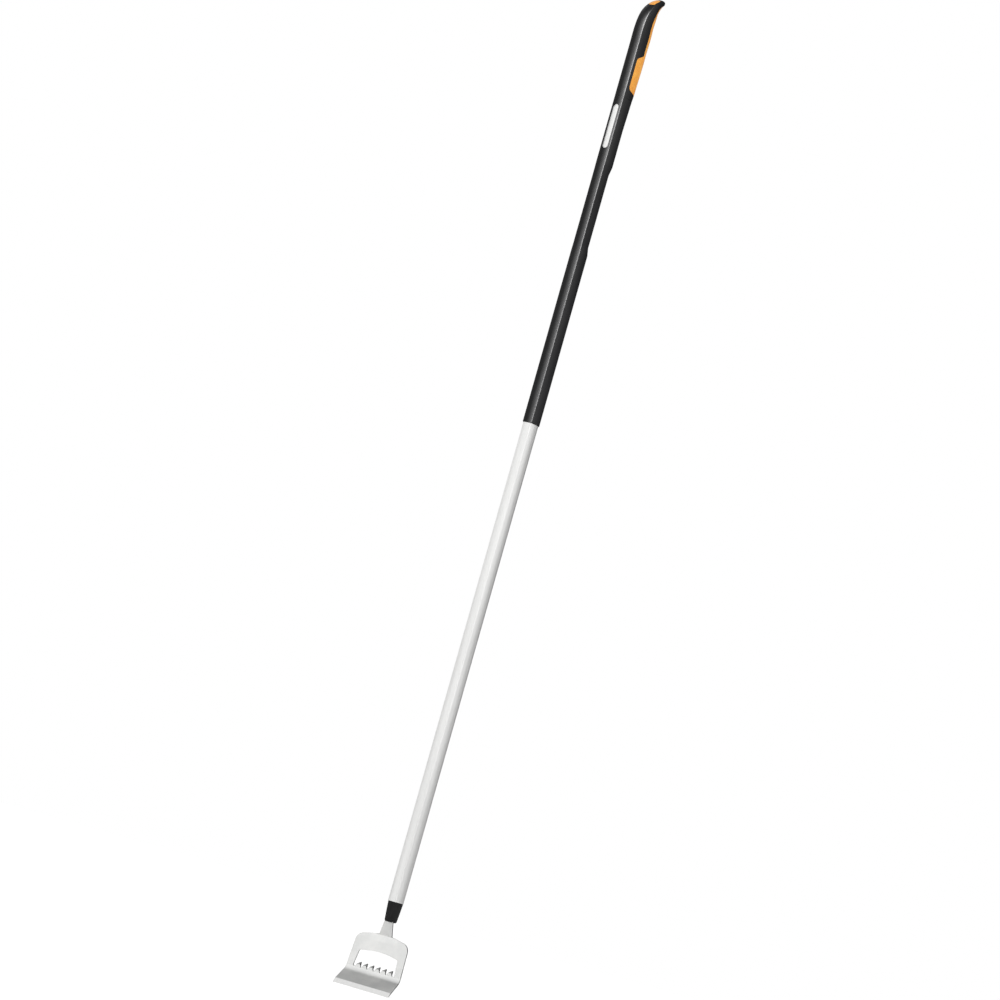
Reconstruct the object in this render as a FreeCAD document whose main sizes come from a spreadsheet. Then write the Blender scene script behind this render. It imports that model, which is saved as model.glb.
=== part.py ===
import FreeCAD, Part
import math
import os
import re
import Sketcher

# Long-handled floor scraper, in millimetres.
#
# Frame: the origin is the middle of the cutting edge, +Z runs up along the shaft, X is across the
# blade, and the front of the tool, the side that the blade leans towards, faces -Y. The shaft's
# axis stands shaft_setback behind the cutting edge. Each body is drawn about the shaft's axis and
# is set back by its Placement.
#
# The shaft, sleeve and handle share one kind of section: a narrow, slightly crowned front between
# two ridges, sides that swell in one arc each, and a round back.

Vector, Placement, Rotation = FreeCAD.Vector, FreeCAD.Placement, FreeCAD.Rotation

DIMENSIONS = {
    "shaft_setback": 35.5,
    # steel head, angles in degrees leaning back from the vertical on the way up
    "sheet_thickness": 3.0,
    "blade_width": 100.0,
    "blade_angle": 47.6,
    "bevel_height": 7.6,
    "edge_land": 0.4,
    "bend_height": 26.6,
    "bend_radius": 14.0,
    "plate_lean": 3.2,
    "side_taper": 0.046,
    "shoulder_radius": 14.0,
    "plate_crown_radius": 140.0,
    "crease_start": 79.0,
    "crease_height": 90.4,
    "crease_angle": 8.0,
    "lip_height": 89.2,
    "lip_angle": 69.4,
    "crease_half_width": 12.5,
    "dish_half_width": 26.0,
    "tang_lean": 5.9,
    "tang_bend_height": 114.0,
    "tang_top": 196.0,
    "tang_root_half": 11.3,
    "tang_root_radius": 0.8,
    "tang_neck_half": 7.55,
    "tang_neck_height": 111.4,
    "tang_half": 6.3,
    "tang_half_height": 113.9,
    # window in the head and the teeth at its foot
    "window_foot": 32.1,
    "window_foot_half": 37.3,
    "window_shoulder": 57.9,
    "window_shoulder_half": 34.3,
    "window_crown_radius": 150.0,
    "window_corner_radius": 3.0,
    "tooth_count": 6,
    "tooth_pitch": 11.3,
    "tooth_foot_half": 5.15,
    "tooth_neck_half": 2.9,
    "tooth_tip_half": 0.5,
    "tooth_foot": 30.0,
    "tooth_neck": 36.4,
    "tooth_tip": 40.8,
    "tooth_lean": 63.7,
    "tooth_tip_thickness": 0.8,
    # ferrule
    "ferrule_foot": 111.4,
    "ferrule_round": 3.2,
    "ferrule_top": 143.4,
    "ferrule_foot_front": 11.8,
    "ferrule_foot_depth": 23.2,
    "ferrule_foot_half": 8.9,
    "ferrule_foot_spread": 3.0,
    "ferrule_front": 14.94,
    "ferrule_depth": 29.04,
    "ferrule_half": 10.3,
    "ferrule_spread": 3.95,
    "ferrule_ridge": 3.6,
    "slot_half": 7.9,
    "slot_step": 114.6,
    "slot_step_half": 6.6,
    "slot_gap": 0.3,
    "spigot_top": 156.0,
    "spigot_clearance": 0.1,
    # aluminium shaft tube, and the crown across the front of every section
    "front_radius": 14.0,
    "tube_front": 15.86,
    "tube_depth": 30.06,
    "tube_half": 10.5,
    "tube_spread": 5.2,
    "tube_ridge": 2.0,
    "tube_wall": 1.5,
    "neck_start": 1180.0,
    "neck_end": 1196.0,
    "neck_depth": 24.66,
    "neck_half": 8.2,
    "neck_spread": 4.2,
    "tube_top": 1541.0,
    # clamp halves, their rivets and the shaft rivet
    "clamp_foot": 156.6,
    "clamp_top": 198.0,
    "clamp_rivet_low": 167.0,
    "clamp_rivet_high": 189.0,
    "rivet_radius": 2.5,
    "rivet_head_radius": 4.4,
    "rivet_head_thickness": 1.6,
    "rivet_well_radius": 4.7,
    "rivet_well_front": 9.0,
    "rivet_well_back": 2.0,
    "shaft_rivet_height": 178.0,
    "shaft_rivet_radius": 2.4,
    "shaft_rivet_foot": 4.0,
    "shaft_rivet_flange": 4.8,
    "shaft_rivet_flange_thickness": 1.2,
    "stem_radius": 1.3,
    "stem_bulb_radius": 2.3,
    "stem_bulb_foot": 0.8,
    # grip sleeve
    "sleeve_foot": 920.0,
    "sleeve_edge": 0.7,
    "sleeve_top": 1462.4,
    "sleeve_front": 17.4,
    "sleeve_depth": 33.6,
    "sleeve_half": 11.8,
    "sleeve_spread": 5.74,
    "sleeve_ridge": 2.6,
    "sleeve_clearance": 0.05,
    "recess_low_edge": 1203.4,
    "recess_low_floor": 1216.2,
    "recess_high_floor": 1336.9,
    "recess_high_edge": 1351.6,
    "recess_depth": 30.5,
    "recess_half": 10.3,
    "recess_spread": 5.44,
    "flare_start": 1413.0,
    "sight_low": 1375.4,
    "sight_high": 1449.0,
    "sight_half": 4.7,
    # hook handle and its soft parts
    "hook_radius": 61.4,
    "handle_ridge": 2.6,
    "skin": 1.6,
    "pin_height": 1500.0,
    "pin_setback": -2.5,
    "pin_radius": 2.5,
    "pin_half_length": 9.5,
    "wing_front": -8.5,
    "wing_foot_front": 1477.5,
    "wing_foot_back": 1457.3,
    "wing_top": 1529.0,
    "wing_round": 7.5,
    "strip_front": 6.0,
    "strip_foot": 1538.0,
    "strip_curve_foot": 1575.0,
    "strip_curve_radius": 54.0,
    "strip_nose": 31.1,
    "strip_nose_height": 1629.6,
    "strip_tip": 56.0,
    "strip_tip_height": 1642.5,
    "behind_all": 80.0,
    "inlay_length": 27.0,
    "inlay_half": 5.5,
    "inlay_sink": 3.5,
    "inlay_turn": 61.0,
}

# Stations along the handle: height on the straight part, turn round the hook's arc, run straight on
# from there, tilt of the section, then the section's depth, half width and spread.
STATIONS = {
    "seam": (1462.8, 0, 0, 0, 36.2, 12.0, 5.7),
    "heel": (1485.0, 0, 0, 0, 37.8, 12.2, 5.7),
    "pad": (1508.0, 0, 0, 0, 38.9, 12.35, 5.7),
    "middle": (1531.0, 0, 0, 0, 39.5, 12.45, 5.7),
    "palm": (1554.0, 0, 0, 0, 39.7, 12.5, 5.7),
    "wrist": (1577.7, 0, 0, 0, 39.7, 12.5, 5.7),
    "rise": (1577.7, 20, 0, 20, 37.4, 12.3, 5.6),
    "curl": (1577.7, 40, 0, 40, 32.5, 11.8, 5.45),
    "crown": (1577.7, 54, 0, 57, 26.3, 10.6, 5.0),
    "nape": (1577.7, 56, 11.4, 60, 19.6, 8.8, 4.5),
    "beak": (1577.7, 62, 19, 70, 14.1, 6.8, 3.6),
    "tip": (1577.7, 71, 19, 84, 9.1, 5.5, 2.8),
}
COLUMNS = ("height", "turn", "run", "tilt", "depth", "half", "spread")
for station, numbers in STATIONS.items():
    DIMENSIONS.update({f"{station}_{column}": number for column, number in zip(COLUMNS, numbers)})

doc = FreeCAD.newDocument("floor_scraper")
sheet = doc.addObject("Spreadsheet::Sheet", "sheet")
for row, (alias, number) in enumerate(DIMENSIONS.items(), 1):
    sheet.set(f"A{row}", alias.replace("_", " "))
    sheet.set(f"B{row}", str(number))
    sheet.setAlias(f"B{row}", alias)
doc.recompute()


# Expressions are written with the sheet's aliases alone; bind() points them at the sheet.
def bind(expression):
    def qualified(word):
        return f"sheet.{word[0]}" if word[0] in DIMENSIONS else word[0]

    return re.sub(r"[a-z_]+", qualified, expression)


def value(expression):
    return float(sheet.evalExpression(bind(expression)))


# ---------------------------------------------------------------- sketches and features


def new_body(name):
    body = doc.addObject("PartDesign::Body", name)
    body.setExpression("Placement.Base.y", bind("shaft_setback"))
    return body


def new_sketch(body, name, plane, offset=("0", "0", "0"), tilt=None):
    """Sketch on one of the body's origin planes, shifted by offset and turned by tilt degrees towards +Y."""
    sketch = body.newObject("Sketcher::SketchObject", name)
    support = next(f for f in body.Origin.OriginFeatures if f.Role == plane)
    sketch.AttachmentSupport = [(support, "")]
    sketch.MapMode = "FlatFace"
    turn = Rotation(Vector(-1, 0, 0), value(tilt)) if tilt else Rotation()
    sketch.AttachmentOffset = Placement(Vector(*[value(part) for part in offset]), turn)
    for axis, part in zip("xyz", offset):
        if part != "0":
            sketch.setExpression(f"AttachmentOffset.Base.{axis}", bind(part))
    if tilt and value(tilt):
        sketch.setExpression("AttachmentOffset.Rotation.Angle", bind(tilt))
    return sketch


def middle_of_arc(start, end, arc):
    """Point half way along an arc given by (radius, side) or by its centre's two expressions."""
    half_chord = (end - start) * 0.5
    outward = Vector(half_chord.y, -half_chord.x, 0).normalize()
    radius, side = arc
    if isinstance(side, str):
        centre = Vector(value(radius), value(side), 0)
        return centre + outward * (start - centre).Length
    sagitta = value(radius) - math.sqrt(value(radius) ** 2 - half_chord.Length**2)
    return start + half_chord + outward * sagitta * side


def draw(sketch, points, arcs=None):
    """Closed outline, anticlockwise, through points given as pairs of expressions.

    arcs maps an edge's number to (radius, side), where side is 1 for an arc that swells outwards
    and -1 for a hollow one, or to a centre's (x, y) for a half circle. Other edges are straight.
    """
    arcs = arcs or {}
    corners = [Vector(value(x), value(y), 0) for x, y in points]
    places = []
    first = sketch.GeometryCount
    for number, start in enumerate(corners):
        end = corners[(number + 1) % len(corners)]
        if number in arcs:
            edge = Part.Arc(start, middle_of_arc(start, end, arcs[number]), end)
        else:
            edge = Part.LineSegment(start, end)
        index = sketch.addGeometry(edge, False)
        forward = (sketch.getPoint(index, 1) - start).Length < (sketch.getPoint(index, 2) - start).Length
        places.append((1, 2) if forward else (2, 1))
    for number, (x, y) in enumerate(points):
        following = (number + 1) % len(points)
        here, there = first + number, first + following
        end, start = places[number][1], places[following][0]
        sketch.addConstraint(Sketcher.Constraint("Coincident", here, end, there, start))
        set_point(sketch, here, places[number][0], x, y)
        if number in arcs:
            radius, side = arcs[number]
            if isinstance(side, str):
                set_point(sketch, here, 3, None, side)
            else:
                index = sketch.addConstraint(Sketcher.Constraint("Radius", here, value(radius)))
                sketch.setExpression(f"Constraints[{index}]", bind(radius))


def set_point(sketch, geometry, place, x, y):
    for kind, expression in (("DistanceX", x), ("DistanceY", y)):
        if expression is None:
            continue
        index = sketch.addConstraint(Sketcher.Constraint(kind, -1, 1, geometry, place, value(expression)))
        sketch.setExpression(f"Constraints[{index}]", bind(expression))


def draw_circle(sketch, x, y, radius):
    middle = Vector(value(x), value(y), 0)
    circle = sketch.addGeometry(Part.Circle(middle, Vector(0, 0, 1), value(radius)), False)
    set_point(sketch, circle, 3, x, y)
    index = sketch.addConstraint(Sketcher.Constraint("Radius", circle, value(radius)))
    sketch.setExpression(f"Constraints[{index}]", bind(radius))


def draw_slot(sketch, half, low, high):
    """Upright slot with round ends, between the heights low and high."""
    foot, head = f"{low} + {half}", f"{high} - {half}"
    corners = [(f"-{half}", foot), (half, foot), (half, head), (f"-{half}", head)]
    draw(sketch, corners, {0: ("0", foot), 2: ("0", head)})


def extrude(body, sketch, kind, length, symmetric=False, backwards=False):
    feature = body.newObject(f"PartDesign::{kind}", f"{sketch.Name}_{kind.lower()}")
    feature.Profile = sketch
    feature.SideType = "Symmetric" if symmetric else "One side"
    feature.Reversed = backwards
    feature.setExpression("Length", bind(length))
    doc.recompute()
    body.Tip = feature
    return feature


def pad(body, sketch, length, **sides):
    return extrude(body, sketch, "Pad", length, **sides)


def pocket(body, sketch, length, **sides):
    """Pocket that has to take material away."""
    before = body.Shape.Volume
    feature = extrude(body, sketch, "Pocket", length, **sides)
    if body.Shape.Volume > before - 1e-3:
        raise ValueError(f"{feature.Name} cuts nothing")
    return feature


def loft(body, sketches, kind="AdditiveLoft", ruled=True):
    feature = body.newObject(f"PartDesign::{kind}", f"{sketches[0].Name}_loft")
    feature.Profile = sketches[0]
    feature.Sections = sketches[1:]
    feature.Ruled = ruled
    doc.recompute()
    body.Tip = feature
    return feature


def fillet(body, radius, chosen):
    """Rounds the edges of the body's last feature that chosen(edge) picks."""
    base = body.Tip
    edges = [f"Edge{number}" for number, edge in enumerate(base.Shape.Edges, 1) if chosen(edge)]
    feature = body.newObject("PartDesign::Fillet", f"{body.Name}_fillet")
    feature.Base = (base, edges)
    feature.setExpression("Radius", bind(radius))
    doc.recompute()
    body.Tip = feature
    return feature


def runs_along(edge, axis):
    """True for an edge that keeps to one straight line along axis."""
    start, end = edge.Vertexes[0].Point, edge.Vertexes[-1].Point
    return (end - start).Length > 1e-6 and abs((end - start).normalize().dot(axis)) > 0.999


def boolean(kind, name, first, *others):
    result = doc.addObject(f"Part::{kind}", name)
    if kind.startswith("Multi"):
        result.Shapes = [first, *others]
    else:
        result.Base, result.Tool = first, others[0]
    doc.recompute()
    return result


def cylinder(name, radius, length, position, direction):
    rod = doc.addObject("Part::Cylinder", name)
    rod.setExpression("Radius", bind(radius))
    rod.setExpression("Height", bind(length))
    rod.Placement = Placement(Vector(), Rotation(Vector(0, 0, 1), direction))
    for axis, part in zip("xyz", position):
        rod.setExpression(f"Placement.Base.{axis}", bind(part))
    return rod


# ---------------------------------------------------------------- the shared section


def section(body, name, place, size, ridge, inset="0", tilt=None):
    """Sketch of the shared section across the shaft.

    place is the (y, z) of its foremost point, size the (depth, half width, spread), where spread is
    half the distance between the centres of the two ridges, ridge is their radius, and inset the
    distance inside that outline.
    """
    depth, half, spread = size
    inset = f"({inset})"
    belly = f"({depth} - {half})"
    ridge_y = f"(front_radius - sqrt((front_radius - {ridge})^2 - {spread}^2))"
    rise = f"({belly} - {ridge_y})"
    swell = f"({half} - {spread})"
    side = f"(({swell}^2 + {rise}^2 - {ridge}^2) / (2 * ({swell} - {ridge})))"
    rounding = f"({ridge} - {inset})"
    front_part = f"({rounding} / (front_radius - {ridge}))"
    side_part = f"({rounding} / ({side} - {ridge}))"
    front = (f"{spread} * (1 + {front_part})", f"{ridge_y} - (front_radius - {ridge_y}) * {front_part}")
    back = (f"{spread} + ({side} - {swell}) * {side_part}", f"{ridge_y} - {rise} * {side_part}")
    wide = f"({half} - {inset})"
    points = [
        (f"-({front[0]})", front[1]),
        front,
        back,
        (wide, belly),
        (f"-{wide}", belly),
        (f"-({back[0]})", back[1]),
    ]
    across, along = (f"front_radius - {inset}", 1), (f"{side} - {inset}", 1)
    arcs = {0: across, 1: (rounding, 1), 2: along, 3: ("0", belly), 4: along, 5: (rounding, 1)}
    sketch = new_sketch(body, name, "XY_Plane", ("0", place[0], place[1]), tilt)
    draw(sketch, points, arcs)
    return sketch


TUBE = ("tube_depth", "tube_half", "tube_spread")
NECK = ("neck_depth", "neck_half", "neck_spread")
SLEEVE = ("sleeve_depth", "sleeve_half", "sleeve_spread")
RECESS = ("recess_depth", "recess_half", "recess_spread")
SEAM = ("seam_depth", "seam_half", "seam_spread")


# ---------------------------------------------------------------- steel head

EDGE_Y = "(-shaft_setback)"
BLADE_TOP_Y = f"({EDGE_Y} - sheet_thickness * cos(blade_angle))"
BLADE_TOP_Z = "(sheet_thickness * sin(blade_angle))"


def blade_front(height):
    """Y of the blade's front face at a height."""
    return f"({BLADE_TOP_Y} + ({height} - {BLADE_TOP_Z}) * tan(blade_angle))"


def plate_front(height):
    """Y of the plate's front face at a height."""
    return f"({blade_front('bend_height')} + ({height} - bend_height) * tan(plate_lean))"


LIP_Y = f"({plate_front('crease_start')} + (lip_height - crease_start) * tan(crease_angle))"
CREASE_Y = f"({LIP_Y} + (crease_height - lip_height) * tan(lip_angle))"
TANG_FRONT = f"({CREASE_Y} - (tang_bend_height - crease_height) * tan(tang_lean))"
TANG_BACK = f"({TANG_FRONT} + sheet_thickness)"


def behind(y, z, lean_below, lean_above):
    """Point of the back face behind a fold of the front face, one sheet thickness away."""
    mean = f"(({lean_below} + {lean_above}) / 2)"
    far = f"(sheet_thickness / cos(({lean_above} - {lean_below}) / 2))"
    return f"{y} + {far} * cos({mean})", f"{z} - {far} * sin({mean})"


def folds(creased):
    """Folds of the front face from the crease up, each as (y, z, lean below it, lean above it)."""
    if creased:
        return [
            (plate_front("crease_start"), "crease_start", "plate_lean", "crease_angle"),
            (LIP_Y, "lip_height", "crease_angle", "lip_angle"),
            (CREASE_Y, "crease_height", "lip_angle", "(-tang_lean)"),
            (TANG_FRONT, "tang_bend_height", "(-tang_lean)", "0"),
            (TANG_FRONT, "tang_top", "0", "0"),
        ]
    heights = ("crease_start", "lip_height", "crease_height", "tang_bend_height", "tang_top")
    return [(plate_front(height), height, "plate_lean", "plate_lean") for height in heights]


def head_profile(body, name, station, creased):
    """Side view of the bent sheet at one station across the head, with or without the crease."""
    run = "(bend_radius * tan((blade_angle - plate_lean) / 2))"
    corner_y = blade_front("bend_height")
    plate_y, plate_z = f"{corner_y} + {run} * sin(plate_lean)", f"bend_height + {run} * cos(plate_lean)"
    blade_y, blade_z = f"{corner_y} - {run} * sin(blade_angle)", f"bend_height - {run} * cos(blade_angle)"
    upper = folds(creased)
    points = [
        *[(y, z) for y, z, _, _ in reversed(upper)],
        (plate_y, plate_z),
        (blade_y, blade_z),
        (blade_front("bevel_height"), "bevel_height"),
        (f"{EDGE_Y} - edge_land * cos(blade_angle)", "edge_land * sin(blade_angle)"),
        (EDGE_Y, "0"),
        behind(blade_y, blade_z, "blade_angle", "blade_angle"),
        behind(plate_y, plate_z, "plate_lean", "plate_lean"),
        *[behind(*fold) for fold in upper],
    ]
    sketch = new_sketch(body, name, "YZ_Plane", ("0", "0", station))
    foot = len(upper)
    draw(sketch, points, {foot: ("bend_radius", -1), foot + 5: ("bend_radius + sheet_thickness", 1)})
    return sketch


def head_sheet():
    """The bent sheet, wider than the head, dished behind the crease."""
    body = new_body("head_sheet")
    stations = [
        ("-blade_width", False),
        ("-dish_half_width", False),
        ("-crease_half_width", True),
        ("crease_half_width", True),
        ("dish_half_width", False),
        ("blade_width", False),
    ]
    loft(body, [head_profile(body, f"head_profile_{n}", *station) for n, station in enumerate(stations)])
    return body


def side(height):
    """Half width of the head at a height."""
    return f"(blade_width / 2 - side_taper * {height})"


def crown(half, radius, top):
    """Height at half from the middle of an arc that peaks at top."""
    return f"({top} - {radius} + sqrt({radius}^2 - {half}^2))"


def mirrored(right):
    """Outline from the points of its right half, from the foot up."""
    return right + [(f"-({x})", z) for x, z in reversed(right)]


def head_outline():
    """Front view of the head: tapered sides, round shoulders, tang, window and rivet holes."""
    body = new_body("head_outline")
    shoulder_z = crown(side("crease_height"), "plate_crown_radius", "crease_height")
    root_z = crown("tang_root_half", "plate_crown_radius", "crease_height")
    foot = "(-sheet_thickness)"
    right = [
        (side(foot), foot),
        (side(shoulder_z), shoulder_z),
        ("tang_root_half", root_z),
        ("tang_neck_half", "tang_neck_height"),
        ("tang_half", "tang_half_height"),
        ("tang_half", "tang_top - tang_half / 2"),
        ("tang_half / 2", "tang_top"),
    ]
    sketch = new_sketch(body, "head_front", "XZ_Plane")
    arc = ("plate_crown_radius", 1)
    draw(sketch, mirrored(right), {1: arc, 11: arc})
    sketch.Visibility = False
    pad(body, sketch, "2 * blade_width", symmetric=True)

    across = Vector(0, 1, 0)
    shoulder = value(side(shoulder_z))

    def at(x, edge):
        return runs_along(edge, across) and abs(abs(edge.CenterOfMass.x) - x) < 0.6

    def at_shoulder(edge):
        return at(shoulder, edge) and edge.CenterOfMass.z > value("window_shoulder")

    fillet(body, "shoulder_radius", at_shoulder)
    fillet(body, "tang_root_radius", lambda edge: at(value("tang_root_half"), edge))

    window = new_sketch(body, "head_window", "XZ_Plane")
    corners = [("window_foot_half", "window_foot"), ("window_shoulder_half", "window_shoulder")]
    draw(window, mirrored(corners), {1: ("window_crown_radius", 1)})
    pocket(body, window, "2 * blade_width", symmetric=True)
    fillet(
        body,
        "window_corner_radius",
        lambda edge: at(value("window_shoulder_half"), edge) or at(value("window_foot_half"), edge),
    )

    holes = new_sketch(body, "tang_holes", "XZ_Plane")
    for height in ("clamp_rivet_low", "clamp_rivet_high"):
        draw_circle(holes, "0", height, "rivet_radius")
    pocket(body, holes, "2 * blade_width", symmetric=True)
    return body


def head_teeth():
    """Six teeth along the window's foot, with their tips bent back."""
    side_view = new_body("teeth_side_view")
    neck = (plate_front("tooth_neck"), "tooth_neck")
    tip_y = f"{neck[0]} + (tooth_tip - tooth_neck) * tan(tooth_lean)"
    profile = new_sketch(side_view, "teeth_profile", "YZ_Plane")
    draw(
        profile,
        [
            (tip_y, "tooth_tip"),
            neck,
            (plate_front("tooth_foot"), "tooth_foot"),
            behind(plate_front("tooth_foot"), "tooth_foot", "plate_lean", "plate_lean"),
            behind(*neck, "plate_lean", "tooth_lean"),
            (
                f"{tip_y} + tooth_tip_thickness * cos(tooth_lean)",
                "tooth_tip - tooth_tip_thickness * sin(tooth_lean)",
            ),
        ],
    )
    pad(side_view, profile, "blade_width", symmetric=True)

    front_view = new_body("teeth_front_view")
    count = DIMENSIONS["tooth_count"]
    row_half = "((tooth_count - 1) / 2 * tooth_pitch + tooth_foot_half)"
    points = [(f"-{row_half}", "tooth_foot"), (row_half, "tooth_foot")]
    for number in reversed(range(count)):
        middle = f"(({number} - (tooth_count - 1) / 2) * tooth_pitch)"
        points += [
            (f"{middle} + tooth_foot_half", "window_foot"),
            (f"{middle} + tooth_neck_half", "tooth_neck"),
            (f"{middle} + tooth_tip_half", "tooth_tip"),
            (f"{middle} - tooth_tip_half", "tooth_tip"),
            (f"{middle} - tooth_neck_half", "tooth_neck"),
            (f"{middle} - tooth_foot_half", "window_foot"),
        ]
    outline = new_sketch(front_view, "teeth_outline", "XZ_Plane")
    draw(outline, points)
    pad(front_view, outline, "blade_width", symmetric=True)
    return boolean("Common", "teeth", side_view, front_view)


def scraper_head():
    blank = boolean("Common", "head_blank", head_sheet(), head_outline())
    head = boolean("MultiFuse", "scraper_head", blank, head_teeth())
    head.Refine = True
    return head


# ---------------------------------------------------------------- shaft and what joins it to the head


def tube_section(body, name, height, size, inset="0"):
    return section(body, name, ("-tube_front", height), size, "tube_ridge", inset)


def shaft_tube():
    """Tube with a reduced neck inside the upper grip, bored for the shaft rivet and the handle pin."""
    body = new_body("shaft_tube")
    stations = [("ferrule_top", TUBE), ("neck_start", TUBE), ("neck_end", NECK), ("tube_top", NECK)]
    loft(body, [tube_section(body, f"tube_outside_{n}", *station) for n, station in enumerate(stations)])
    bores = [
        tube_section(body, f"tube_inside_{n}", *station, "tube_wall")
        for n, station in enumerate(stations)
    ]
    loft(body, bores, "SubtractiveLoft")
    rivet_hole = new_sketch(body, "shaft_rivet_hole", "XZ_Plane", ("0", "0", "-tube_depth"))
    draw_circle(rivet_hole, "0", "shaft_rivet_height", "shaft_rivet_radius")
    pocket(body, rivet_hole, "tube_depth", backwards=True)
    pin_hole = new_sketch(body, "tube_pin_hole", "YZ_Plane")
    draw_circle(pin_hole, "pin_setback", "pin_height", "pin_radius")
    pocket(body, pin_hole, "4 * neck_half", symmetric=True)
    return body


# Steps of the rounding round the ferrule's foot, in degrees.
FOOT_ANGLES = (0, 18, 36, 54, 72, 90)


def ferrule():
    """Socket between the tang and the tube, with a rounded foot and a spigot inside the tube."""
    body = new_body("ferrule")
    foot_size = ("ferrule_foot_depth", "ferrule_foot_half", "ferrule_foot_spread")
    stations = []
    for angle in FOOT_ANGLES:
        height = f"ferrule_foot + ferrule_round * (1 - cos({angle}))"
        inset = f"(ferrule_round * (1 - sin({angle})))"
        stations.append((("-ferrule_foot_front", height), foot_size, inset))
    top_size = ("ferrule_depth", "ferrule_half", "ferrule_spread")
    stations.append((("-ferrule_front", "ferrule_top"), top_size, "0"))
    rings = [
        section(body, f"ferrule_ring_{n}", place, size, "ferrule_ridge", inset)
        for n, (place, size, inset) in enumerate(stations)
    ]
    loft(body, rings)
    spigot = tube_section(body, "spigot", "ferrule_top", TUBE, "tube_wall + spigot_clearance")
    pad(body, spigot, "spigot_top - ferrule_top")
    front, back = f"{TANG_FRONT} - slot_gap", f"{TANG_BACK} + slot_gap"
    slots = (("tang_slot", "slot_step_half", "spigot_top"), ("slot_mouth", "slot_half", "slot_step"))
    for name, half, top in slots:
        slot = new_sketch(body, name, "XY_Plane", ("0", "0", top))
        draw(slot, [(f"-{half}", front), (half, front), (half, back), (f"-{half}", back)])
        pocket(body, slot, top)
    return body


def clamp_half(name, front):
    """One nylon half that grips the tang from the front or from the back, inside the tube."""
    body = new_body(name)
    plug = tube_section(body, f"{name}_plug", "clamp_foot", TUBE, "tube_wall + spigot_clearance")
    pad(body, plug, "clamp_top - clamp_foot")
    split = new_sketch(body, f"{name}_split", "XY_Plane", ("0", "0", "clamp_top"))
    low, high = (TANG_FRONT, "tube_depth") if front else ("-tube_depth", TANG_BACK)
    draw(split, [("-tube_depth", low), ("tube_depth", low), ("tube_depth", high), ("-tube_depth", high)])
    pocket(body, split, "clamp_top")
    for what, radius in (("hole", "rivet_radius"), ("well", "rivet_well_radius")):
        floor = "0" if what == "hole" else ("rivet_well_front" if front else "-rivet_well_back")
        start = new_sketch(body, f"{name}_{what}s", "XZ_Plane", ("0", "0", floor))
        for height in ("clamp_rivet_low", "clamp_rivet_high"):
            draw_circle(start, "0", height, radius)
        if what == "hole":
            pocket(body, start, "2 * tube_depth", symmetric=True)
        else:
            pocket(body, start, "tube_depth", backwards=front)
    if not front:
        blind = new_sketch(body, "blind_hole", "XZ_Plane", ("0", "0", "0"))
        draw_circle(blind, "0", "shaft_rivet_height", "shaft_rivet_radius")
        pocket(body, blind, "tube_depth")
    return body


def clamp_rivets():
    """Two headed rivets through both clamp halves and the tang."""
    rivets = []
    front, back = "(shaft_setback - rivet_well_front)", "(shaft_setback + rivet_well_back)"
    for which in ("low", "high"):
        height = f"clamp_rivet_{which}"
        head_length = "rivet_head_thickness"
        along = Vector(0, 1, 0)
        shank = cylinder(f"shank_{which}", "rivet_radius", f"{back} - {front}", ("0", front, height), along)
        front_place = ("0", f"{front} - {head_length}", height)
        front_head = cylinder(f"front_head_{which}", "rivet_head_radius", head_length, front_place, along)
        back_place = ("0", back, height)
        back_head = cylinder(f"back_head_{which}", "rivet_head_radius", head_length, back_place, along)
        rivets.append(boolean("MultiFuse", f"clamp_rivet_{which}_solid", shank, front_head, back_head))
    pair = doc.addObject("Part::Compound", "clamp_rivets")
    pair.Links = rivets
    doc.recompute()
    return pair


def revolved_on_y(name, height, outline):
    """Body turned about a line along Y at a height, from (radius, y) corners."""
    body = new_body(name)
    sketch = new_sketch(body, f"{name}_outline", "XY_Plane", ("0", "0", height))
    draw(sketch, outline)
    turned = body.newObject("PartDesign::Revolution", f"{name}_turned")
    turned.Profile = sketch
    turned.ReferenceAxis = (sketch, ["V_Axis"])
    turned.Angle = 360
    doc.recompute()
    body.Tip = turned
    return body


TUBE_BACK = "(tube_depth - tube_front)"


def shaft_rivet():
    """Hollow blind rivet, set from the back."""
    flange = f"{TUBE_BACK} + shaft_rivet_flange_thickness"
    return revolved_on_y(
        "shaft_rivet",
        "shaft_rivet_height",
        [
            ("stem_radius", "shaft_rivet_foot"),
            ("shaft_rivet_radius", "shaft_rivet_foot"),
            ("shaft_rivet_radius", TUBE_BACK),
            ("shaft_rivet_flange", TUBE_BACK),
            ("shaft_rivet_flange - shaft_rivet_flange_thickness / 2", flange),
            ("stem_radius", flange),
        ],
    )


def shaft_rivet_stem():
    """Mandrel left in the blind rivet, with its bulb at the inner end."""
    top = f"{TUBE_BACK} + shaft_rivet_flange_thickness / 2"
    return revolved_on_y(
        "shaft_rivet_stem",
        "shaft_rivet_height",
        [
            ("0", "stem_bulb_foot"),
            ("stem_radius", "stem_bulb_foot"),
            ("stem_bulb_radius", "(stem_bulb_foot + shaft_rivet_foot) / 2"),
            ("stem_bulb_radius", "shaft_rivet_foot"),
            ("stem_radius", "shaft_rivet_foot"),
            ("stem_radius", top),
            ("0", top),
        ],
    )


# ---------------------------------------------------------------- grip


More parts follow.
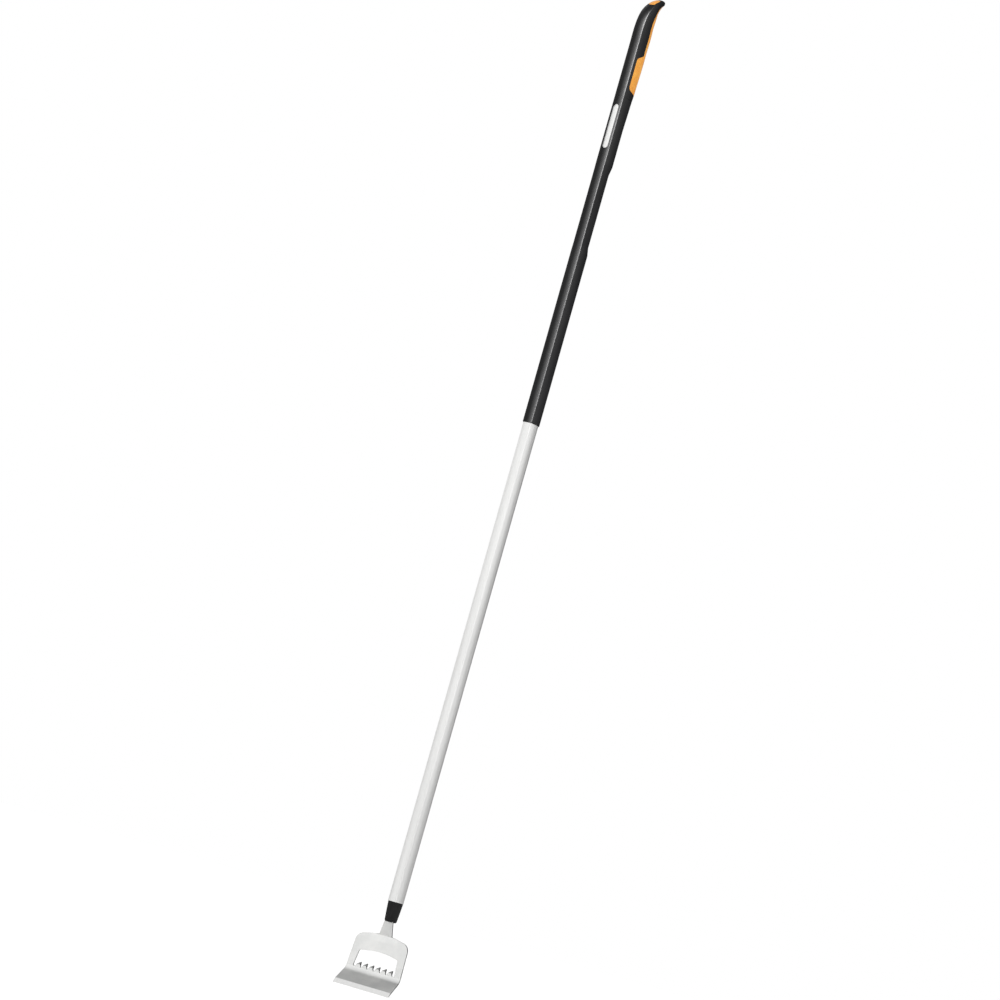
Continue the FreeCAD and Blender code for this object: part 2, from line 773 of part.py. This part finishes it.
def grip_sleeve():
    """Sleeve with a recess along its back, a flare to the handle and a window to the bare tube."""
    body = new_body("grip_sleeve")
    stations = [
        ("sleeve_foot", SLEEVE, "sleeve_edge"),
        ("sleeve_foot + sleeve_edge", SLEEVE, "0"),
        ("recess_low_edge", SLEEVE, "0"),
        ("recess_low_floor", RECESS, "0"),
        ("recess_high_floor", RECESS, "0"),
        ("recess_high_edge", SLEEVE, "0"),
        ("flare_start", SLEEVE, "0"),
        ("sleeve_top", SEAM, "0"),
    ]
    outside = [
        section(body, f"sleeve_outside_{n}", ("-sleeve_front", height), size, "sleeve_ridge", inset)
        for n, (height, size, inset) in enumerate(stations)
    ]
    loft(body, outside)
    stations = [("sleeve_foot", TUBE), ("neck_start", TUBE), ("neck_end", NECK), ("sleeve_top", NECK)]
    bores = [
        tube_section(body, f"sleeve_inside_{n}", *station, "-sleeve_clearance")
        for n, station in enumerate(stations)
    ]
    loft(body, bores, "SubtractiveLoft")
    sight = new_sketch(body, "sight_window", "XZ_Plane", ("0", "0", "sleeve_front + 1"))
    draw_slot(sight, "sight_half", "sight_low", "sight_high")
    pocket(body, sight, "sleeve_front - tube_front + 2")
    return body


def handle_place(station):
    """(y, z) of the foremost point of the section at a handle station."""
    turn, run, height = f"{station}_turn", f"{station}_run", f"{station}_height"
    y = f"-sleeve_front + hook_radius * (1 - cos({turn})) + {run} * sin({turn})"
    z = f"{height} + hook_radius * sin({turn}) + {run} * cos({turn})"
    return y, z


def handle_loft(name, inset):
    """The handle's outside, or a smaller copy of it inset by that much."""
    body = new_body(name)
    sections = []
    for station in STATIONS:
        size = tuple(f"{station}_{column}" for column in ("depth", "half", "spread"))
        tilt = f"{station}_tilt"
        sections.append(
            section(body, f"{name}_{station}", handle_place(station), size, "handle_ridge", inset, tilt)
        )
    loft(body, sections, ruled=False)
    return body


def soft_zone():
    """Side view of the stretch covered by the soft grip: two wings, the back and the hook's hollow."""
    body = new_body("soft_zone")
    sketch = new_sketch(body, "soft_zone_outline", "YZ_Plane")
    points = [
        ("wing_front", "wing_foot_front"),
        ("behind_all", "wing_foot_back"),
        ("behind_all", "strip_tip_height"),
        ("strip_tip", "strip_tip_height"),
        ("strip_nose", "strip_nose_height"),
        ("strip_front", "strip_curve_foot"),
        ("strip_front", "strip_foot"),
        ("wing_front", "wing_top"),
    ]
    draw(sketch, points, {4: ("strip_curve_radius", 1)})
    pad(body, sketch, "blade_width", symmetric=True)
    low, high = value("wing_foot_front"), value("wing_top")

    def corner(edge):
        middle = edge.CenterOfMass
        return runs_along(edge, Vector(1, 0, 0)) and min(abs(middle.z - low), abs(middle.z - high)) < 1

    fillet(body, "wing_round", corner)
    return body


def crown_prism():
    """Round-ended block through the hook's crown, square to its surface."""
    body = new_body("crown_prism")
    turn = "inlay_turn"
    y = f"-sleeve_front + hook_radius * (1 - cos({turn}))"
    z = f"wrist_height + hook_radius * sin({turn})"
    sketch = new_sketch(body, "crown_outline", "XY_Plane", ("0", y, z), f"{turn} - 90")
    draw_slot(sketch, "inlay_half", "(-inlay_length / 2)", "(inlay_length / 2)")
    pad(body, sketch, "2 * inlay_sink", symmetric=True)
    return body


def socket():
    """Space that the tube's neck and the cross pin take up inside the handle."""
    body = new_body("socket")
    height = "seam_height - 1"
    neck = tube_section(body, "socket_neck", height, NECK, "-sleeve_clearance")
    pad(body, neck, f"tube_top - ({height})")
    pin = new_sketch(body, "socket_pin", "YZ_Plane")
    draw_circle(pin, "pin_setback", "pin_height", "pin_radius")
    pad(body, pin, "2 * pin_half_length", symmetric=True)
    return body


def handle_parts():
    """hook_handle, rear_soft_grip and crown_inlay, divided out of one outer shape."""
    outside = handle_loft("handle_outside", "0")
    inside = handle_loft("handle_inside", "skin")
    covered = boolean("Common", "covered_back", outside, soft_zone())
    soft = boolean("Cut", "rear_soft_grip", covered, inside)
    crown_piece = boolean("Common", "crown_inlay", outside, crown_prism())
    taken = boolean("MultiFuse", "taken_from_handle", crown_piece, socket())
    bare = boolean("Cut", "bare_handle", outside, soft)
    handle = boolean("Cut", "hook_handle", bare, taken)
    return handle, soft, crown_piece


def handle_pin():
    place = ("-pin_half_length", "shaft_setback + pin_setback", "pin_height")
    rod = cylinder("handle_pin", "pin_radius", "2 * pin_half_length", place, Vector(1, 0, 0))
    doc.recompute()
    return rod


# ---------------------------------------------------------------- assembly and export


def build():
    hook, soft, crown_piece = handle_parts()
    return {
        "scraper_head": scraper_head(),
        "ferrule": ferrule(),
        "clamp_front": clamp_half("clamp_front", True),
        "clamp_back": clamp_half("clamp_back", False),
        "clamp_rivets": clamp_rivets(),
        "shaft_tube": shaft_tube(),
        "shaft_rivet": shaft_rivet(),
        "shaft_rivet_stem": shaft_rivet_stem(),
        "grip_sleeve": grip_sleeve(),
        "hook_handle": hook,
        "handle_pin": handle_pin(),
        "rear_soft_grip": soft,
        "crown_inlay": crown_piece,
    }


nodes = build()
doc.recompute()
for node, part in nodes.items():
    part.Label = node
for item in doc.Objects:
    if {"Invalid", "Error"} & set(item.State):
        raise ValueError(f"{item.Name} failed: {item.State}")
for node, part in nodes.items():
    if part.Shape.isNull() or not part.Shape.isValid():
        raise ValueError(f"{node} has no valid shape")

os.makedirs("parts", exist_ok=True)
for node, part in nodes.items():
    part.Shape.exportStep(f"parts/{node}.step")
    print(node, len(part.Shape.Solids), "solid(s),", round(part.Shape.Volume / 1000, 2), "cm3")
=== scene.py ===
import math

import bpy
from mathutils import Matrix, Vector

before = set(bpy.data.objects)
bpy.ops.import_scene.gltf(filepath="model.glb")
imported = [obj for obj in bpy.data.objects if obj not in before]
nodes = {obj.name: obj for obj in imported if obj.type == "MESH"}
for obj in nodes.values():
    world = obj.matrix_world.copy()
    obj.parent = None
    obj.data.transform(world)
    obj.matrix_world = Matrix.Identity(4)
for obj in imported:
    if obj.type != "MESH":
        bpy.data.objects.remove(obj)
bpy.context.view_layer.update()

# Heights and depths in metres, as in the CAD: the shaft's axis stands behind the cutting edge.
SHAFT_Y = 0.0355
BEVEL_TOP = 0.0076
BEVEL_BLUR = 0.0001

# ---------------------------------------------------------------- camera, lights and floor

CAMERA_AZIMUTH = math.radians(27)
CAMERA_DISTANCE = 5.8
CAMERA_HEIGHT = 0.14
CAMERA_ASIDE = -0.0143
CAMERA_TILT = math.radians(6.41)
CAMERA_ROLL = math.radians(15.8)
CAMERA_LENS = 133.83
SENSOR_WIDTH = 36

GRIPS = ("grip_sleeve", "hook_handle")
BLACK = ("ferrule", "clamp_front", "clamp_back", *GRIPS)
SOFT = ("rear_soft_grip", "crown_inlay")

# Patches of light: azimuth, elevation and width in degrees, radiance, and the nodes they light.
# The four keys rise in steps from left to right and end at once, as the streak on the grip does.
GLOWS = {
    "key_0": (15, 20, 60, 3, GRIPS),
    "key_1": (38, 24, 50, 8, GRIPS),
    "key_2": (56, 28, 46, 27, GRIPS),
    "key_3": (72, 30, 42, 38, GRIPS),
    "middle": (25, 40, 84, 0.6, BLACK),
    "soft_key": (50, 34, 54, 2.5, SOFT),
    "tang": (-27, -4, 60, 0.1, ("scraper_head",)),
    "card": (112, 5, 100, 0.3, ("shaft_tube",)),
}

FLOOR_SIDE = 40
# A painted glowing spot on the floor ahead of the head, which its face and tang mirror.
SPOT_AZIMUTH = -27
SPOT_DISTANCE = 1.5
SPOT_INNER, SPOT_OUTER = 0.3, 1.3


def direction(azimuth, elevation):
    """Unit vector; azimuth 0 is the tool's front, -Y, and 90 its right, +X."""
    azimuth, elevation = math.radians(azimuth), math.radians(elevation)
    flat = math.cos(elevation)
    return Vector((math.sin(azimuth) * flat, -math.cos(azimuth) * flat, math.sin(elevation)))


def make_camera():
    data = bpy.data.cameras.new("camera")
    data.lens = CAMERA_LENS
    data.sensor_width = SENSOR_WIDTH
    data.clip_start, data.clip_end = 0.1, 100
    camera = bpy.data.objects.new("camera", data)
    bpy.context.scene.collection.objects.link(camera)
    sine, cosine = math.sin(CAMERA_AZIMUTH), math.cos(CAMERA_AZIMUTH)
    right = Vector((cosine, sine, 0))
    forward = Vector((-sine * math.cos(CAMERA_TILT), cosine * math.cos(CAMERA_TILT), math.sin(CAMERA_TILT)))
    up = right.cross(forward)
    rolled_right = right * math.cos(CAMERA_ROLL) + up * math.sin(CAMERA_ROLL)
    rolled_up = up * math.cos(CAMERA_ROLL) - right * math.sin(CAMERA_ROLL)
    turn = Matrix((rolled_right, rolled_up, -forward)).transposed().to_4x4()
    place = Vector((sine, -cosine, 0)) * CAMERA_DISTANCE + right * CAMERA_ASIDE
    camera.matrix_world = Matrix.Translation(place + Vector((0, SHAFT_Y, CAMERA_HEIGHT))) @ turn
    bpy.context.scene.camera = camera


def make_glow(name, azimuth, elevation, angle, radiance, receivers):
    """Round patch of even light, far away and angle degrees across, that lights the named nodes alone."""
    data = bpy.data.lights.new(name, "SUN")
    data.angle = math.radians(angle)
    data.energy = radiance * math.pi * math.sin(data.angle / 2) ** 2
    light = bpy.data.objects.new(name, data)
    bpy.context.scene.collection.objects.link(light)
    light.rotation_euler = direction(azimuth, elevation).to_track_quat("Z", "Y").to_euler()
    lit = bpy.data.collections.new(name + "_receivers")
    for node in receivers:
        lit.objects.link(nodes[node])
    light.light_linking.receiver_collection = lit


def make_glows():
    for name, (azimuth, elevation, angle, radiance, receivers) in GLOWS.items():
        make_glow(name, azimuth, elevation, angle, radiance, receivers)


def make_world():
    """White backdrop to the eye; round the object a bright studio, dim overhead and dark behind."""
    world = bpy.data.worlds.new("studio")
    bpy.context.scene.world = world
    world.use_nodes = True
    tree = world.node_tree
    tree.nodes.clear()
    net = Net(tree)
    toward = net.add("TexCoord").outputs["Generated"]
    fill = net.range(net.toward(toward, direction(-15, -10)), 0.5, 1.0, 0.0, 0.22)
    window = net.range(net.toward(toward, direction(58, 22)), 0.2, 1.0, 0.88, 1.2)
    front = net.math("ADD", fill, window)
    behind = net.range(net.toward(toward, direction(177, 20)), 0.34, 0.92, 1.0, 0.02)
    height = net.add("SeparateXYZ", inputs={0: toward}).outputs["Z"]
    overhead = net.range(height, 0.8, 0.91, 1.0, 0.22)
    strength = net.math("MULTIPLY", net.math("MULTIPLY", front, behind), overhead)
    lit = net.add("Background", inputs={"Color": (1, 1, 1, 1), "Strength": strength}).outputs[0]
    seen = net.add("Background", inputs={"Color": (1, 1, 1, 1), "Strength": 1.0}).outputs[0]
    eye = net.add("LightPath").outputs["Is Camera Ray"]
    mix = net.add("MixShader", inputs={0: eye, 1: lit, 2: seen}).outputs[0]
    net.add("OutputWorld", inputs={"Surface": mix})


def make_floor():
    """Pale paper that looks as white as the backdrop, with a painted glowing spot of light on it ahead of
    the head.
    """
    mesh = bpy.data.meshes.new("floor")
    side = FLOOR_SIDE
    corners = [(-side, -side, 0), (side, -side, 0), (side, side, 0), (-side, side, 0)]
    mesh.from_pydata(corners, [], [(0, 1, 2, 3)])
    floor = bpy.data.objects.new("floor", mesh)
    bpy.context.scene.collection.objects.link(floor)
    net, shader = new_material("floor_paper", (0.9, 0.9, 0.9), 0.9)
    shader.inputs["Emission Color"].default_value = (1, 1, 1, 1)
    eye = net.add("LightPath").outputs["Is Camera Ray"]
    centre = direction(SPOT_AZIMUTH, 0) * SPOT_DISTANCE
    spot = net.add("VectorMath", operation="DISTANCE", inputs={0: net.place(), 1: centre})
    # Painted light: the floor emits a soft spot of light ahead of the head, which lights the head as a lamp
    # would.
    painted_glow_spot = net.range(spot.outputs["Value"], SPOT_INNER, SPOT_OUTER, 0.5, 0.0)
    net.link(net.math("MULTIPLY_ADD", eye, 0.6, painted_glow_spot), shader, "Emission Strength")
    mesh.materials.append(net.material)


# ---------------------------------------------------------------- material helpers


class Net:
    """Short calls for building a node tree."""

    def __init__(self, tree, material=None):
        self.tree = tree
        self.material = material

    def add(self, kind, inputs=None, **settings):
        node = self.tree.nodes.new("ShaderNode" + kind)
        for name, setting in settings.items():
            setattr(node, name, setting)
        for name, source in (inputs or {}).items():
            socket = node.inputs[name]
            if isinstance(source, bpy.types.NodeSocket):
                self.tree.links.new(source, socket)
            else:
                socket.default_value = source
        return node

    def link(self, source, node, name):
        self.tree.links.new(source, node.inputs[name])

    def math(self, operation, *sources):
        return self.add("Math", operation=operation, inputs=dict(enumerate(sources))).outputs[0]

    def range(self, source, low, high, at_low, at_high):
        """Smooth step of source from low to high."""
        inputs = {"Value": source, "From Min": low, "From Max": high, "To Min": at_low, "To Max": at_high}
        return self.add("MapRange", interpolation_type="SMOOTHSTEP", inputs=inputs).outputs["Result"]

    def toward(self, ray, target):
        """Cosine between a ray and a direction."""
        return self.add("VectorMath", operation="DOT_PRODUCT", inputs={0: ray, 1: target}).outputs["Value"]

    def place(self):
        """Object coordinates, in metres."""
        return self.add("TexCoord").outputs["Object"]

    def axis(self, name):
        return self.add("SeparateXYZ", inputs={0: self.place()}).outputs[name]

    def noise(self, scale, detail=3.0, roughness=0.5, stretch=(1, 1, 1)):
        """Noise that varies about its middle, with scale cycles to the metre, squeezed by stretch."""
        moved = self.add("Mapping", inputs={"Vector": self.place(), "Scale": stretch}).outputs[0]
        inputs = {"Vector": moved, "Scale": scale, "Detail": detail, "Roughness": roughness}
        return self.add("TexNoise", inputs=inputs).outputs["Fac"]

    def cells(self, scale, stretch=(1, 1, 1)):
        moved = self.add("Mapping", inputs={"Vector": self.place(), "Scale": stretch}).outputs[0]
        return self.add("TexVoronoi", inputs={"Vector": moved, "Scale": scale}).outputs["Distance"]

    def mix(self, factor, first, second):
        inputs = {"Factor": factor, "A": first, "B": second}
        node = self.add("Mix", data_type="RGBA")
        sockets = {"Factor": node.inputs[0], "A": node.inputs[6], "B": node.inputs[7]}
        for name, source in inputs.items():
            if isinstance(source, bpy.types.NodeSocket):
                self.tree.links.new(source, sockets[name])
            else:
                sockets[name].default_value = source
        return node.outputs[2]

    def bump(self, height, distance, strength=1.0, under=None):
        inputs = {"Height": height, "Distance": distance, "Strength": strength}
        if under is not None:
            inputs["Normal"] = under
        return self.add("Bump", inputs=inputs).outputs["Normal"]


def rgb(*channels):
    return (*channels, 1.0)


def new_material(name, colour, roughness, metallic=0.0, specular=0.5):
    material = bpy.data.materials.new(name)
    material.use_nodes = True
    tree = material.node_tree
    tree.nodes.clear()
    net = Net(tree, material)
    shader = net.add("BsdfPrincipled")
    net.add("OutputMaterial", inputs={"Surface": shader.outputs[0]})
    shader.inputs["Base Color"].default_value = rgb(*colour)
    shader.inputs["Roughness"].default_value = roughness
    shader.inputs["Metallic"].default_value = metallic
    shader.inputs["Specular IOR Level"].default_value = specular
    return net, shader


def head_steel():
    """Light lacquered steel with a cross-rolled grain, smudges, and a ground bevel at the edge."""
    net, shader = new_material("head_steel", (0.76, 0.76, 0.75), 0.36, 1.0)
    grain = net.noise(900, 4, 0.6, (0.06, 1, 1))
    ground = net.noise(2600, 3, 0.6, (1, 0.04, 0.04))
    smudge = net.noise(34, 5, 0.6)
    bevel = net.range(net.axis("Z"), BEVEL_TOP - BEVEL_BLUR, BEVEL_TOP + BEVEL_BLUR, 1.0, 0.0)
    tone = net.mix(net.range(smudge, 0.3, 0.7, 0.0, 1.0), rgb(0.74, 0.745, 0.735), rgb(0.85, 0.85, 0.835))
    cut = net.mix(net.range(ground, 0.25, 0.75, 0.0, 1.0), rgb(0.82, 0.82, 0.81), rgb(0.95, 0.95, 0.94))
    net.link(net.mix(bevel, tone, cut), shader, "Base Color")
    rough = net.math("MULTIPLY_ADD", smudge, 0.14, 0.27)
    rough = net.math("MULTIPLY_ADD", grain, 0.1, rough)
    net.link(net.math("MULTIPLY_ADD", bevel, -0.08, rough), shader, "Roughness")
    lines = net.add("Mix", inputs={0: bevel, 2: grain, 3: ground}).outputs[0]
    net.link(net.bump(lines, 0.00003, 0.5, net.bump(smudge, 0.0004, 0.15)), shader, "Normal")
    return net.material


def drawn_aluminium():
    """Satin anodised tube with faint die lines along it."""
    net, shader = new_material("shaft_aluminium", (0.86, 0.86, 0.85), 0.34, 1.0)
    lines = net.noise(1400, 3, 0.6, (1, 1, 0.012))
    broad = net.noise(240, 3, 0.5, (1, 1, 0.02))
    speck = net.noise(3500, 2, 0.5)
    tone = net.mix(net.range(broad, 0.3, 0.7, 0.0, 1.0), rgb(0.83, 0.83, 0.82), rgb(0.88, 0.88, 0.87))
    net.link(tone, shader, "Base Color")
    rough = net.math("MULTIPLY_ADD", lines, 0.12, 0.27)
    net.link(net.math("MULTIPLY_ADD", speck, 0.06, rough), shader, "Roughness")
    net.link(net.bump(lines, 0.00003, 0.35, net.bump(speck, 0.00001, 0.3)), shader, "Normal")
    return net.material


def moulded(name, dark, light, rough, grain_scale, grain_depth):
    """Black plastic with a spark-eroded mould grain and faint handling marks."""
    net, shader = new_material(name, light, rough, specular=0.17)
    grain = net.cells(grain_scale)
    fine = net.noise(grain_scale * 2.2, 3, 0.6)
    marks = net.noise(36, 4, 0.6, (1, 1, 0.4))
    tone = net.mix(net.range(marks, 0.35, 0.7, 0.0, 1.0), rgb(*dark), rgb(*light))
    net.link(tone, shader, "Base Color")
    rubbed = net.math("MULTIPLY_ADD", marks, -0.1, rough + 0.05)
    net.link(net.math("MULTIPLY_ADD", fine, 0.08, net.math("SUBTRACT", rubbed, 0.04)), shader, "Roughness")
    mixed = net.math("MULTIPLY_ADD", fine, 0.5, grain)
    net.link(net.bump(mixed, grain_depth, 0.6), shader, "Normal")
    return net.material


def soft_orange(name):
    """Satin soft plastic with a fine stipple whose pits are darkened with painted shade, deeper patches and
    a pale sheen at the edges.
    """
    net, shader = new_material(name, (0.8, 0.36, 0.05), 0.5, specular=0.3)
    stipple = net.cells(1500)
    patches = net.noise(45, 4, 0.6)
    tone = net.mix(net.range(patches, 0.3, 0.7, 0.0, 1.0), rgb(0.74, 0.3, 0.035), rgb(0.86, 0.41, 0.06))
    # Painted shade: the stipple's pits, where the bump is lowest, are darkened towards (0.62, 0.23, 0.025).
    pit_shaded = net.mix(net.range(stipple, 0.0, 0.35, 1.0, 0.0), tone, rgb(0.62, 0.23, 0.025))
    net.link(pit_shaded, shader, "Base Color")
    net.link(net.math("MULTIPLY_ADD", patches, 0.16, 0.4), shader, "Roughness")
    net.link(net.bump(stipple, 0.00006, 0.5), shader, "Normal")
    shader.inputs["Subsurface Weight"].default_value = 0.06
    shader.inputs["Subsurface Radius"].default_value = (0.004, 0.0015, 0.0005)
    shader.inputs["Subsurface Scale"].default_value = 0.4
    shader.inputs["Sheen Weight"].default_value = 0.35
    shader.inputs["Sheen Roughness"].default_value = 0.4
    shader.inputs["Sheen Tint"].default_value = (0.75, 0.78, 1, 1)
    return net.material


def plated(name, colour):
    """Small fastener: plated metal with turning marks and dull spots."""
    net, shader = new_material(name, colour, 0.3, 1.0)
    dull = net.noise(500, 4, 0.6)
    turned = net.noise(2500, 2, 0.5, (1, 0.2, 1))
    low = rgb(*(channel * 0.86 for channel in colour))
    net.link(net.mix(net.range(dull, 0.35, 0.65, 0.0, 1.0), low, rgb(*colour)), shader, "Base Color")
    net.link(net.math("MULTIPLY_ADD", dull, 0.25, 0.2), shader, "Roughness")
    net.link(net.bump(turned, 0.00002, 0.4), shader, "Normal")
    return net.material


def finish_nodes():
    # Darkest and lightest tone of each plastic.
    black = ((0.0007, 0.0007, 0.0008), (0.0015, 0.0015, 0.0016))
    nylon = ((0.009, 0.009, 0.0092), (0.017, 0.017, 0.0172))
    finishes = {
        "scraper_head": head_steel(),
        "shaft_tube": drawn_aluminium(),
        "ferrule": moulded("ferrule_plastic", *nylon, 0.42, 1700, 0.00003),
        "clamp_front": moulded("clamp_plastic", *nylon, 0.45, 1500, 0.00004),
        "grip_sleeve": moulded("grip_plastic", *black, 0.34, 1500, 0.00003),
        "hook_handle": moulded("handle_plastic", *black, 0.32, 1900, 0.000015),
        "rear_soft_grip": soft_orange("soft_rubber"),
        "crown_inlay": soft_orange("inlay_rubber"),
        "clamp_rivets": plated("fastener_steel", (0.56, 0.56, 0.57)),
        "shaft_rivet": plated("fastener_aluminium", (0.78, 0.78, 0.79)),
    }
    finishes["clamp_back"] = finishes["clamp_front"]
    finishes["handle_pin"] = finishes["shaft_rivet_stem"] = finishes["clamp_rivets"]
    for node, material in finishes.items():
        for place in nodes[node].material_slots:
            place.material = material


make_camera()
make_glows()
make_world()
make_floor()
finish_nodes()
bpy.context.scene.view_settings.view_transform = "Standard"
